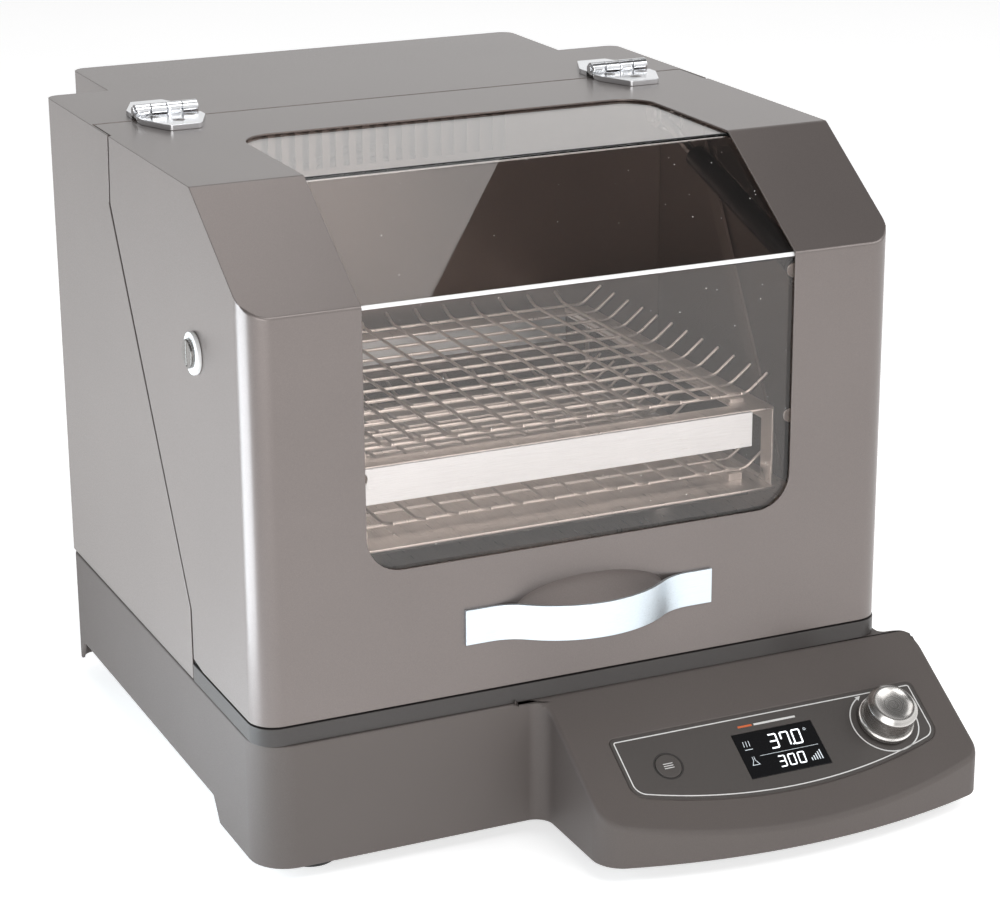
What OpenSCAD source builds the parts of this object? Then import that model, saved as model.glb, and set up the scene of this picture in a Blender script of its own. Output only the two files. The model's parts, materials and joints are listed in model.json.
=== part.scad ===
// Benchtop shaking incubator: a heated chamber under a hinged hood, a wire-tray
// rack that orbits, and a sloping control console. Millimetres, +Z up, front -Y.
// Coordinates inside the modules: x = 0 on the body's centre plane, y = 0 on the
// hood's front face, z = 0 on the bench. place() moves them to the part's origin.

/* [Body] */
// Width of the hood and cabinet
body_w = 457; // [450:1:462]
// Depth of the body, hood front to cabinet rear wall
body_d = 413; // [411:1:416]
// Height of the hood and cabinet above the base
body_h = 330; // [328:1:334]
// Height of the hood's upright front face
front_h = 267; // [262:1:270]
// Depth of the slope from the front face to the flat top
slope_d = 93.5; // [90:0.5:97]
// Sheet metal thickness
sheet_t = 1.5; // [1.2:0.1:1.8]
// Radius of the hood's upright front corners
hood_corner_r = 18; // [14:1:22]
// Width of the joint between hood and cabinet sides
gap_w = 3.5; // [3:0.5:4.5]

/* [Window] */
// Width of the window opening
window_w = 304; // [290:1:308]
// Height of the opening's lower edge above the hood's lower edge
window_sill = 92.5; // [88:0.5:98]
// Distance from the hood's front face to the opening's rear edge
window_rear_y = 222; // [215:1:228]
// Radius of the opening's corners
window_r = 24; // [18:1:28]
// Thickness of the bent acrylic pane
pane_t = 4; // [3:0.5:5]

/* [Base] */
// Height of the base moulding without its feet
base_h = 86; // [84:1:88]
// How far the rubber feet lift the base
foot_h = 11; // [9:1:12]
// Height of the plinth between base and hood
plinth_h = 13; // [12:0.5:14]
// Depth of the base from its front face to its rear wall
base_d = 410.5; // [408:0.5:411]
// Radius of the base's front corner
base_corner_r = 26; // [20:1:30]
// Wall thickness of the base moulding
wall_t = 3; // [2.5:0.5:3.5]
// Height of the hand recess cut in each side skirt
recess_h = 16; // [14:1:18]

/* [Console] */
// Console's left wall, from the centre plane
console_x0 = -30.5; // [-33:0.5:-28]
// Console's right wall, from the centre plane
console_x1 = 252.5; // [250:0.5:255]
// How far the console reaches in front of the hood
console_d = 113; // [112:1:116]
// Radius of the console's bowed front edge
bow_r = 452; // [440:1:470]
// Fall of the console's top per unit of depth
slope_fall = 0.63; // [0.6:0.01:0.65]
// Diameter of the control knob
knob_d = 39; // [36:1:40]
// Height of the control knob
knob_h = 21; // [18:1:22]

/* [Handle] */
// Length of the handle band, end to end
handle_l = 179; // [170:1:190]
// Height of the handle band
handle_w = 24; // [22:1:27]
// How far the handle bows out from the hood
handle_bow = 24.5; // [22:0.5:27]

/* [Rack] */
// Distance between tray wires
wire_pitch = 22.9; // [22:0.1:23]
// Diameter of the tray wires
wire_d = 2.4; // [2:0.2:3]
// Height of the lower tray's wires above the bench
lower_tray_z = 219; // [218:1:221]
// Height between the two trays
tray_rise = 53; // [52:1:54]
// Radius of the shaking orbit
orbit_r = 10; // [8:1:10]

/* [Hidden] */
$fn = 64;

taupe = [0.52, 0.49, 0.48];
dark_taupe = [0.37, 0.34, 0.335];
steel = [0.78, 0.79, 0.80];
black = [0.06, 0.06, 0.06];

// heights above the bench
base_top = foot_h + base_h;
hood_z = base_top + plinth_h;
top_z = hood_z + body_h;
half_w = body_w / 2;

// base outline
base_half = half_w + 1;
base_front = -2.5;
base_rear = base_front + base_d;
base_rear_r = 12;
junction_r = 12;
console_left_r = 22;
console_right_r = 14;
bow_c = [(console_x0 + console_x1) / 2 + 5, -console_d + bow_r];
flank_r = 18;
flank_y = -15;
flank_fillet = console_x1 - base_half - flank_r;

// console slope: starts on a line across the console and falls to the front
slope_y = -1.8;
slope_z = base_top;
slope_a = atan(slope_fall);
panel_x0 = -1;
panel_x1 = 229.5;
panel_top = -41;
panel_low = -104.8;
panel_bow_r = 367;
panel_recess = 1.5;
display_size = [60, 35];
display_at = [114, -73.3];
button_d = 18;
button_at = [31.5, -68.8];
knob_at = [196, -68.2];

// joint line between hood and cabinet, as [y, z]
gap_low = [126, hood_z + 38];
gap_high = [266, hood_z + 283];
gap_top = [262.5, top_z];

// hood features
window_x = 0;
handle_x = 3.5;
handle_z = hood_z + 46;
cup_half = [54, 17];
cup_z = hood_z + 52;
fold_k = sqrt(1 + pow((body_h - front_h) / slope_d, 2));

// hinges
hinge_x = 174.5;
hinge_y = 302;
hinge_z = top_z + 6.4;
knuckle_r = 4.7;
knuckle_l = 11.3;
leaf_t = 4;
leaf_d = 44;
leaf_straight = 17;
pin_r = 2;
hinge_screw_at = [[-13, 13], [13, 13], [0, 29]];

// struts: hood pivot and cabinet pivot, as [y, z]
strut_x = half_w - 14;
pivot_hood = [94, hood_z + 223];
pivot_cabinet = [312, hood_z + 292];
strut_l = norm(pivot_hood - pivot_cabinet);
strut_a = atan2(pivot_hood.y - pivot_cabinet.y, pivot_hood.x - pivot_cabinet.x);
strut_pin_r = 4;
strut_eye_r = 8.3;
rod_r = 3.85;

// rear cover
cover_half = 181;
cover_rear = 508;
cover_z = 150;

// drive
drive_at = [-13.5, 163];
idler_at = [[-119.5, 88], [100.5, 88], [-13.5, 268]];
shaft_r = 6;
eccentric_r = 5;
fit = 0.05;
floor_top = 190;
carrier_z = 200;
belt_z = 26;
belt_w = 8;
crank_pulley_r = 40;
motor_pulley_r = 15;
motor_at = [106.5, 163];

// rack
rack_x = -13.5;
rack_half = 155;
rack_front = 20;
rack_rear = 306;
shelf_z = 209.2;
upper_shelf_z = lower_tray_z + tray_rise - 7.5;
wires = 12;
wire_shift = 6;
wire_dip = wire_d - 0.25;
wire_low = wire_dip + wire_d / 2;

// fan and heater
fan_at = [0, 300];
fan_r = 68;
air_wall_y = 334;

// extents used to centre the part
x_lo = -half_w - 6;
x_hi = console_x1;
y_lo = -console_d;
y_hi = cover_rear;

module place() translate([-(x_lo + x_hi) / 2, -(y_lo + y_hi) / 2, 0]) children();

// ---------- outlines ----------

function arc(c, r, a0, a1, n = 10) =
  [for (i = [0:n]) let (a = a0 + (a1 - a0) * i / n) [c.x + r * cos(a), c.y + r * sin(a)]];

function angle_of(c, p) = atan2(p.y - c.y, p.x - c.x);

// centre of a corner of radius r that touches an upright wall and a bow
function bow_corner(x, r, c, big) = [x, c.y - sqrt(pow(big - r, 2) - pow(x - c.x, 2))];

// plan of the base and console, inset by i
function base_outline(i) =
  let (c1 = bow_corner(console_x0 + console_left_r, console_left_r, bow_c, bow_r),
       c2 = bow_corner(console_x1 - console_right_r, console_right_r, bow_c, bow_r),
       a1 = angle_of(bow_c, c1) + 360,
       a2 = angle_of(bow_c, c2) + 360,
       fillet_y = flank_y + flank_r + flank_fillet)
  concat(
    arc([-base_half + base_corner_r, base_front + base_corner_r], base_corner_r - i, 180, 270),
    arc([console_x0 - junction_r, base_front - junction_r], junction_r + i, 90, 0),
    arc(c1, console_left_r - i, 180, a1),
    arc(bow_c, bow_r - i, a1, a2, 24),
    arc(c2, console_right_r - i, a2, 360),
    arc([console_x1 - flank_r, flank_y], flank_r - i, 0, 90),
    arc([base_half + flank_fillet, fillet_y], flank_fillet + i, 270, 180),
    arc([base_half - base_rear_r, base_rear - base_rear_r], base_rear_r - i, 0, 90),
    arc([-base_half + base_rear_r, base_rear - base_rear_r], base_rear_r - i, 90, 180));

// outline of the control panel on the slope, inset by i
function panel_outline(i) =
  let (bow = [(panel_x0 + panel_x1) / 2, panel_low + panel_bow_r],
       c1 = bow_corner(panel_x0 + 12, 12, bow, panel_bow_r),
       c2 = bow_corner(panel_x1 - 12, 12, bow, panel_bow_r),
       a1 = angle_of(bow, c1) + 360,
       a2 = angle_of(bow, c2) + 360)
  concat(
    arc([panel_x1 - 4, panel_top - 4], 4 - i, 0, 90, 6),
    arc([panel_x0 + 4, panel_top - 4], 4 - i, 90, 180, 6),
    arc(c1, 12 - i, 180, a1),
    arc(bow, panel_bow_r - i, a1, a2, 20),
    arc(c2, 12 - i, a2, 360));

// plan rectangle with two round corners at its front
function hood_outline(i) = concat(
  arc([-half_w + hood_corner_r, hood_corner_r], hood_corner_r - i, 180, 270, 12),
  arc([half_w - hood_corner_r, hood_corner_r], hood_corner_r - i, 270, 360, 12),
  [[half_w - i, hinge_y + 60], [-half_w + i, hinge_y + 60]]);

// side profile of the hood as [y, z], inset by i
function hood_profile(i) =
  let (m = (body_h - front_h) / slope_d)
  [[i, hood_z - 1], [i, hood_z + front_h + m * i - i * fold_k],
   [(body_h - i - front_h + i * fold_k) / m, top_z - i],
   [hinge_y + 60, top_z - i], [hinge_y + 60, hood_z - 1]];

// joint line moved back by i, closed behind or in front of it
function gap_line(i) = [
  [gap_low.x + i, base_top - 1], gap_low + [i, 0], gap_high + [i, 0], gap_top + [i, 2]];

// ---------- shared shapes ----------

// turns a [y, z] outline into a slab from x0 to x1
module slab_x(x0, x1) translate([x0, 0, 0]) rotate([90, 0, 90])
  linear_extrude(x1 - x0) children();

module slab_z(z0, z1) translate([0, 0, z0]) linear_extrude(z1 - z0) children();

module box(lo, hi) translate(lo) cube(hi - lo);

module tube(r, bore, h) difference() {
  cylinder(r = r, h = h);
  translate([0, 0, -1]) cylinder(r = bore, h = h + 2);
}

module both_sides() {
  children();
  mirror([1, 0, 0]) children();
}

// children drawn on the console slope: x across, y up the slope, z out of it
module on_slope(at = [0, 0]) translate([0, slope_y, slope_z]) rotate([slope_a, 0, 0])
  translate([at.x, at.y, 0]) children();

module rounded_rect(size, r) {
  square([size.x - 2 * r, size.y], center = true);
  square([size.x, size.y - 2 * r], center = true);
  for (x = [-1, 1], y = [-1, 1])
    translate([x * (size.x / 2 - r), y * (size.y / 2 - r)]) circle(r);
}

// ---------- base ----------

// everything above the console's slope, moved down by drop
module above_slope(drop) slab_x(console_x0 - 20, console_x1 + 20) polygon([
  [slope_y, base_top + 1], [slope_y, slope_z - drop],
  [-console_d - 40, slope_z - drop - slope_fall * (console_d + 40 + slope_y)],
  [-console_d - 40, base_top + 1]]);

boss_at = [[-204, 60], [204, 60], [-204, 340], [204, 340], [-120, 20], [100, 345]];

module base_shell() place() color(dark_taupe) {
  for (p = boss_at) translate([p.x, p.y, pan_z + pan_t]) cylinder(r = 5, h = base_top - pan_z - pan_t - 1);
  base_moulding();
}

module base_moulding() difference() {
  slab_z(foot_h, base_top) polygon(base_outline(0));
  above_slope(0);
  difference() {
    slab_z(foot_h - 1, base_top - wall_t) polygon(base_outline(wall_t));
    above_slope(wall_t / cos(slope_a));
  }
  // deck opening for the drive
  box([-190, 46, base_top - wall_t - 1], [190, 316, base_top + 1]);
  // hand recess in each side skirt
  slab_x(-base_half - 1, base_half + 30) polygon([
    [80, foot_h - 1], [92, foot_h + recess_h], [386, foot_h + recess_h], [398, foot_h - 1]]);
  // console panel pocket and the holes behind it
  on_slope() slab_z(-panel_recess, 1) polygon(panel_outline(0));
  on_slope(display_at) box([-31, -18.5, -8], [31, 18.5, 1]);
  on_slope(button_at) translate([0, 0, -8]) cylinder(r = button_d / 2 + 0.8, h = 10);
  on_slope(knob_at) translate([0, 0, -8]) cylinder(r = 5.5, h = 10);
  // inlet and switch opening in the rear wall
  box([-176, base_rear - 8, 38], [-118, base_rear + 1, 68]);
}

pan_z = 14;
pan_t = 1.5;
pan_inset = 9;
foot_at = [[-184, 32], [184, 32], [-184, 372], [184, 372]];
foot_r = 19;

module base_pan() place() color(taupe) difference() {
  slab_z(pan_z, 24) polygon(base_outline(pan_inset));
  slab_z(pan_z + pan_t, 25) polygon(base_outline(pan_inset + pan_t));
  for (p = foot_at) translate([p.x, p.y, pan_z - 1]) cylinder(r = 2.6, h = 4);
  for (x = [-60:12:60]) box([x, 330, pan_z - 1], [x + 4, 366, pan_z + 3]);
}

module rubber_feet() place() color(black)
  for (p = foot_at) translate([p.x, p.y, 0]) rotate_extrude()
    polygon([[3, 4], [8, 4], [8, 0], [16.5, 0], [foot_r, 3], [foot_r, pan_z - 0.01],
             [3, pan_z - 0.01]]);

// front of the plinth stands flush under the hood, the rear sits inside the cabinet
plinth_half = half_w + 0.4;
plinth_y0 = -0.6;
plinth_step = gap_low.x - 1;
plinth_y1 = 398;
plinth_rim = 15;

function plinth_outline(i) =
  let (r = 18, rear_half = half_w - sheet_t - 0.5 - i)
  concat(
    arc([-plinth_half + r, plinth_y0 + r], r - i, 180, 270, 8),
    arc([plinth_half - r, plinth_y0 + r], r - i, 270, 360, 8),
    [[plinth_half - i, plinth_step], [rear_half, plinth_step], [rear_half, plinth_y1 - i],
     [-rear_half, plinth_y1 - i], [-rear_half, plinth_step], [-plinth_half + i, plinth_step]]);

module chamber_plinth() place() color(dark_taupe) difference() {
  slab_z(base_top, hood_z - 1) polygon(plinth_outline(0));
  slab_z(base_top - 1, hood_z + 1) polygon(plinth_outline(plinth_rim));
}

module hood_gasket() place() color(black) difference() {
  slab_z(hood_z - 1, hood_z - 0.3) polygon(plinth_outline(3));
  slab_z(hood_z - 2, hood_z) polygon(plinth_outline(9));
  box([-half_w, plinth_step - 3, hood_z - 3], [half_w, plinth_y1 + 1, hood_z + 1]);
}

// ---------- cabinet ----------

function cabinet_outline(i) = let (r = 9) concat(
  arc([half_w - r, body_d - r], r - i, 0, 90, 8),
  arc([-half_w + r, body_d - r], r - i, 90, 180, 8),
  [[-half_w + i, 90], [half_w - i, 90]]);

module cabinet_shell() place() color(taupe) difference() {
  slab_z(base_top + 0.05, top_z) polygon(cabinet_outline(0));
  slab_z(base_top - 1, top_z - sheet_t) polygon(cabinet_outline(sheet_t));
  // front edge of the side panels follows the joint line
  slab_x(-half_w - 1, half_w + 1)
    polygon(concat(gap_line(gap_w / 2), [[0, top_z + 2], [0, base_top - 1]]));
  // the flat top begins behind the hinge line, between the side panels
  box([-half_w + sheet_t, 80, base_top], [half_w - sheet_t, hinge_y + 0.8, top_z + 1]);
  // fan shaft and heater lead openings
  translate([fan_at.x, body_d - 5, fan_at.y]) rotate([-90, 0, 0]) cylinder(r = 12, h = 10);
}

// dark strip on the inside of each side panel, closing the joint to view
module gap_seal() place() color(black) both_sides()
  slab_x(half_w - sheet_t - 2.3, half_w - sheet_t - 0.3) intersection() {
    polygon(concat(gap_line(-6), reversed(gap_line(9))));
    translate([0, hood_z - 0.7]) square([400, body_h - 3.3]);
  }

module rear_air_wall() place() color(taupe) difference() {
  box([-half_w + sheet_t + 0.05, air_wall_y, hood_z - 0.95],
      [half_w - sheet_t - 0.05, air_wall_y + sheet_t, top_z - sheet_t - 0.05]);
  // warm air slots along the top
  for (i = [-9:9]) translate([i * 10.4, air_wall_y - 1, top_z - 58])
    cube([4.5, 4, 32]);
  // return air slots low down, behind the lower tray
  for (i = [-6:6]) translate([fan_at.x + i * 14 - 3, air_wall_y - 1, 128]) cube([6, 4, 60]);
  translate([-150, air_wall_y - 1, fan_at.y + 60]) rotate([-90, 0, 0]) cylinder(r = 4, h = 4);
}

function cover_outline(i) = let (r = 10) concat(
  arc([cover_half - r, cover_rear - r], r - i, 0, 90, 8),
  arc([-cover_half + r, cover_rear - r], r - i, 90, 180, 8),
  [[-cover_half + i, body_d + 0.05], [cover_half - i, body_d + 0.05]]);

module rear_cover() place() color(taupe) difference() {
  slab_z(cover_z, top_z - 0.5) polygon(cover_outline(0));
  slab_z(cover_z + sheet_t, top_z - 0.5 - sheet_t) polygon(cover_outline(sheet_t));
  // open towards the cabinet
  box([-cover_half + sheet_t, body_d - 1, cover_z + sheet_t],
      [cover_half - sheet_t, body_d + 3, top_z - 0.5 - sheet_t]);
  // ventilation slots in the rear face
  for (x = [-1, 1], i = [-4:4], z = [200, 240])
    translate([x * 100 + i * 12 - 2.5, cover_rear - 5, z]) cube([5, 10, 28]);
}

// ---------- drive ----------

module each_shaft() {
  translate([drive_at.x, drive_at.y, 0]) children();
  for (p = idler_at) translate([p.x, p.y, 0]) children();
}

plate_z = base_top;
plate_t = 4;

module drive_plate() place() color(steel) difference() {
  box([-197, 38, plate_z + 0.05], [197, 322, plate_z + plate_t]);
  each_shaft() translate([0, 0, plate_z - 1]) cylinder(r = 16, h = 8);
  translate([motor_at.x, motor_at.y, plate_z - 1]) cylinder(r = 10, h = 8);
}

module chamber_floor() place() color(steel) difference() {
  box([-194, 40, plate_z + plate_t], [194, 320, floor_top]);
  box([-192.8, 41.2, plate_z + plate_t - 1], [192.8, 318.8, floor_top - 1.2]);
  each_shaft() translate([0, 0, floor_top - 4]) cylinder(r = shaft_r + 3, h = 8);
}

module bearing_housings() place() color(steel) each_shaft() {
  translate([0, 0, plate_z + plate_t]) tube(24, shaft_r + fit, 5);
  translate([0, 0, plate_z - 14]) tube(15.5, shaft_r + fit, 14 + plate_t + 22);
}

// motor hangs under the drive plate with its shaft pointing down
module drive_motor() place() color(black) translate([motor_at.x, motor_at.y, 0]) difference() {
  union() {
    translate([0, 0, 46]) cylinder(r = 28, h = plate_z - 46);
    translate([0, 0, 42]) cylinder(r = 11, h = 4.5);
  }
  translate([0, 0, 41]) cylinder(r = 4 + fit, h = 30);
}

module motor_pulley() place() color(steel) translate([motor_at.x, motor_at.y, 0]) {
  translate([0, 0, belt_z - 1]) cylinder(r = motor_pulley_r, h = belt_w + 2);
  translate([0, 0, belt_z - 3]) cylinder(r = motor_pulley_r + 2, h = 2);
  translate([0, 0, belt_z - 1]) cylinder(r = 4, h = 40);
}

// outline round both pulleys, off the belt faces by g
module belt_outline(g) hull() {
  translate(drive_at) circle(crank_pulley_r + g);
  translate(motor_at) circle(motor_pulley_r + g);
}

module drive_belt() place() color(black) slab_z(belt_z, belt_z + belt_w) difference() {
  belt_outline(2.7);
  belt_outline(0.3);
}

// shaft with a disc on top that carries the eccentric pin
module crank(low) {
  translate([0, 0, low]) cylinder(r = shaft_r, h = floor_top + 1.5 - low);
  translate([0, 0, floor_top + 1.5]) cylinder(r = 18, h = 5.5);
  translate([orbit_r, 0, floor_top + 7]) cylinder(r = eccentric_r, h = 11);
}

module drive_crank() place() color(steel) translate([drive_at.x, drive_at.y, 0]) crank(22);

module idler(i) place() color(steel) translate([idler_at[i].x, idler_at[i].y, 0]) crank(80);
module idler_crank_left() idler(0);
module idler_crank_right() idler(1);
module idler_crank_rear() idler(2);

module crank_pulley() place() color(black) translate([drive_at.x, drive_at.y, 0]) {
  translate([0, 0, belt_z - 1]) tube(crank_pulley_r, shaft_r, belt_w + 2);
  translate([0, 0, belt_z - 3]) tube(crank_pulley_r + 3, shaft_r, 2);
  translate([0, 0, belt_z + belt_w + 1]) tube(14, shaft_r, 8);
}

// half disc on the crank shaft, opposite the eccentric pin
module counterweight() place() color(steel) translate([drive_at.x, drive_at.y, 150]) {
  difference() {
    tube(46, shaft_r, 14);
    box([0, -50, -1], [50, 50, 15]);
  }
  tube(13, shaft_r, 14);
}

// ---------- platform and rack ----------

module each_pin() translate([orbit_r, 0, 0]) each_shaft() children();

module platform_carrier() place() color(steel) translate([orbit_r, 0, 0]) difference() {
  union() {
    box([rack_x - 146, 40, carrier_z], [rack_x + 146, 300, carrier_z + 6]);
    for (x = [-145, 133]) box([rack_x + x, 44, carrier_z + 6], [rack_x + x + 12, 296, shelf_z]);
  }
  each_shaft() translate([0, 0, carrier_z - 1]) cylinder(r = 11, h = 9);
}

module platform_bearings() place() color(steel) each_pin()
  translate([0, 0, carrier_z - 1]) tube(11, eccentric_r + fit, 9);

module rack_frame() translate([orbit_r, 0, 0]) children();

module tray_rests(z, h) for (x = [-142, 132]) translate([rack_x + x, 42, z]) cube([10, 256, h]);

module lower_shelf() place() color(steel) rack_frame() {
  box([rack_x - rack_half, rack_front, shelf_z], [rack_x + rack_half, rack_rear, shelf_z + 1.8]);
  tray_rests(shelf_z + 1.8, lower_tray_z - wire_low - shelf_z - 1.8);
}

module upper_shelf() place() color(steel) rack_frame() {
  difference() {
    box([rack_x - rack_half, rack_front + 3, upper_shelf_z],
        [rack_x + rack_half, rack_rear, upper_shelf_z + 1.5]);
    box([rack_x - 130, rack_front + 18, upper_shelf_z - 1],
        [rack_x + 130, rack_rear - 16, upper_shelf_z + 3]);
  }
  tray_rests(upper_shelf_z + 1.5, lower_tray_z + tray_rise - wire_low - upper_shelf_z - 1.5);
}

module rack_sides() place() color(steel) rack_frame() translate([rack_x, 0, 0]) both_sides()
  difference() {
    box([rack_half - 1.5, rack_front + 3, shelf_z + 1.8], [rack_half, rack_rear, upper_shelf_z]);
    box([rack_half - 3, rack_front + 18, shelf_z + 5], [rack_half + 1, rack_rear - 4, 254]);
  }

module rack_rails() place() color(steel) rack_frame() for (y = [rack_front + 0.45, rack_rear])
  box([rack_x - 149, y, upper_shelf_z - 23], [rack_x + 137, y + 2.5, upper_shelf_z + 1]);

// one wire as straight rods between its bends, with round ends
module wire(points) for (i = [0:len(points) - 2]) hull() {
  translate(points[i]) sphere(d = wire_d, $fn = 6);
  translate(points[i + 1]) sphere(d = wire_d, $fn = 6);
}

// wires along y lie on wires along x, and the ends of both turn up
module tray(z) place() color(steel) rack_frame() translate([rack_x, 0, z]) {
  for (i = [0:wires - 1]) let (x = wire_shift + (i - (wires - 1) / 2) * wire_pitch)
    wire([[x, 27, 5], [x, 44, 0], [x, 302, 0], [x, 314, 5]]);
  for (i = [0:wires - 1]) let (y = 46 + i * wire_pitch)
    wire([[-162, y, 10], [-147, y, -wire_dip], [147, y, -wire_dip], [162, y, 10]]);
}
module lower_tray() tray(lower_tray_z);
module upper_tray() tray(lower_tray_z + tray_rise);

// ---------- console ----------

module membrane_panel() place() color(dark_taupe) difference() {
  on_slope() slab_z(-panel_recess, -0.1) polygon(panel_outline(0.25));
  on_slope(display_at) box([-30.4, -17.9, -3], [30.4, 17.9, 1]);
  on_slope(button_at) translate([0, 0, -3]) cylinder(r = button_d / 2 + 0.4, h = 5);
  on_slope(knob_at) translate([0, 0, -3]) cylinder(r = 5.5, h = 5);
}

board_z = -16;

module display_module() place() color(black) on_slope(display_at) {
  box([-display_size.x / 2, -display_size.y / 2, -9], [display_size.x / 2, display_size.y / 2, -0.2]);
  box([-34, -21, board_z + 1.6], [34, 21, -9]);
}

button_travel = 1;

module mode_button() place() color(dark_taupe) on_slope(button_at) {
  translate([0, 0, -9]) cylinder(r = button_d / 2, h = 9.3);
  translate([0, 0, -11.5]) cylinder(r = 2.5, h = 3);
}

knob_lift = 1.2;

module control_knob() place() color(steel) on_slope(knob_at) difference() {
  rotate_extrude() polygon([
    [0, knob_lift], [knob_d / 2, knob_lift], [knob_d / 2, 5], [knob_d / 2 - 1, 6],
    [knob_d / 2 - 2.2, knob_h - 3.2], [knob_d / 2 - 4.6, knob_h], [13, knob_h], [12, knob_h - 1],
    [0, knob_h - 1.8]]);
  translate([0, 0, 0]) cylinder(r = 3 + fit, h = 14);
}

module encoder_shaft() place() color(steel) on_slope(knob_at)
  translate([0, 0, -12]) cylinder(r = 3, h = 24.5);

module encoder_body() place() color(black) on_slope(knob_at) difference() {
  union() {
    box([-6.5, -7, board_z + 1.6], [6.5, 7, -7]);
    translate([0, 0, -7.5]) cylinder(r = 4.5, h = 7);
  }
  translate([0, 0, board_z + 1.5]) cylinder(r = 3 + fit, h = 20);
}

module control_board() place() color([0.1, 0.35, 0.2]) on_slope() {
  box([14, -96, board_z], [216, -50, board_z + 1.6]);
  for (x = [19, 211], y = [-91, -55]) translate([x, y, board_z + 1.6])
    cylinder(r = 3, h = -board_z - 1.6 - wall_t);
  translate([button_at.x, button_at.y, board_z + 1.6]) translate([-3, -3, 0]) cube([6, 6, 1.5]);
}

module power_supply() place() color(steel) difference() {
  box([-190, 200, pan_z + pan_t], [-90, 330, 60]);
  for (i = [0:7]) box([-180 + i * 11, 199, 50], [-175 + i * 11, 331, 61]);
}

// ---------- mains inlet and switch in the rear wall ----------

inlet_x = -161;
switch_x = -132;
inlet_z = 53;
socket_y = base_rear + 1.5;

module power_inlet() place() color(black) {
  difference() {
    union() {
      box([-182, base_rear, 34], [-112, base_rear + 1.5, 72]);
      box([-175.5, base_rear - 24, 38.5], [-118.5, base_rear, 67.5]);
    }
    box([inlet_x - 12, base_rear - 16, inlet_z - 8], [inlet_x + 12, base_rear + 2, inlet_z + 8]);
    box([switch_x - 7, base_rear - 12, inlet_z - 11], [switch_x + 7, base_rear + 2, inlet_z + 11]);
  }
  for (p = [[-7, -2], [7, -2], [0, 3]])
    box([inlet_x + p.x - 1, base_rear - 16.5, inlet_z + p.y - 2],
        [inlet_x + p.x + 1, base_rear - 2, inlet_z + p.y + 2]);
}

rocker_r = 13;

module switch_rocker() place() color([0.55, 0.1, 0.08])
  translate([switch_x - 6.5, base_rear - 6, inlet_z]) intersection() {
    rotate([0, 90, 0]) cylinder(r = rocker_r, h = 13);
    translate([0, -3, -9.5]) cube([13, 12, 19]);
    rotate([8, 0, 0]) translate([0, -6, -12]) cube([13, 14.2, 24]);
  }

// ---------- fan, heater and probe ----------

module on_fan_axis(y) translate([fan_at.x, y, fan_at.y]) rotate([-90, 0, 0]) children();

module fan_motor() place() color(black) difference() {
  union() {
    on_fan_axis(body_d + 0.05) cylinder(r = 42, h = 3);
    on_fan_axis(body_d + 3) cylinder(r = 32, h = 52);
  }
  on_fan_axis(body_d - 1) cylinder(r = 4 + fit, h = 40);
}

module fan_impeller() place() color(steel) {
  on_fan_axis(386) cylinder(r = fan_r, h = 2);
  on_fan_axis(354) tube(fan_r, 48, 2);
  on_fan_axis(380) cylinder(r = 12, h = 6);
  on_fan_axis(388) cylinder(r = 4, h = 60);
  for (i = [0:15]) on_fan_axis(355) rotate([0, 0, i * 22.5])
    translate([50, -0.8, 0]) rotate([0, 0, 20]) cube([16, 1.6, 32]);
}

module heater_ring() place() color([0.3, 0.29, 0.28]) {
  for (y = [364, 378]) on_fan_axis(y) rotate_extrude() translate([82, 0]) circle(r = 4);
  for (a = [0, 120, 240]) on_fan_axis(371) rotate([0, 0, a])
    translate([82, 0, 0]) tube(2.5, 1, 38);
}

module temperature_probe() place() color(steel) {
  translate([-150, 285, fan_at.y + 60]) rotate([-90, 0, 0]) cylinder(r = 2.5, h = 60);
  translate([-150, air_wall_y + sheet_t, fan_at.y + 60]) rotate([-90, 0, 0]) tube(7, 2.5, 5);
}

// ---------- hood ----------

// solid bounded by the hood's outer faces moved in by i
module hood_solid(i) intersection() {
  slab_z(hood_z - 0.5, top_z) polygon(hood_outline(i));
  slab_x(-half_w, half_w) polygon(hood_profile(i));
}

// opening through front, slope and top, with round corners at both ends
module window_cut(grow = 0) translate([window_x, 0, 0]) {
  w = window_w + 2 * grow;
  low = hood_z + window_sill - grow;
  back = window_rear_y + grow;
  translate([0, 20, low + window_r]) rotate([90, 0, 0]) linear_extrude(22) {
    translate([-w / 2, 0]) square([w, 180]);
    translate([0, 0]) rounded_rect([w, 2 * window_r], window_r - 0.01);
  }
  slab_z(hood_z + 240, top_z + 2) {
    translate([-w / 2, -2]) square([w, back - window_r + 2]);
    translate([0, back - window_r]) rounded_rect([w, 2 * window_r], window_r - 0.01);
  }
}

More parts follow.
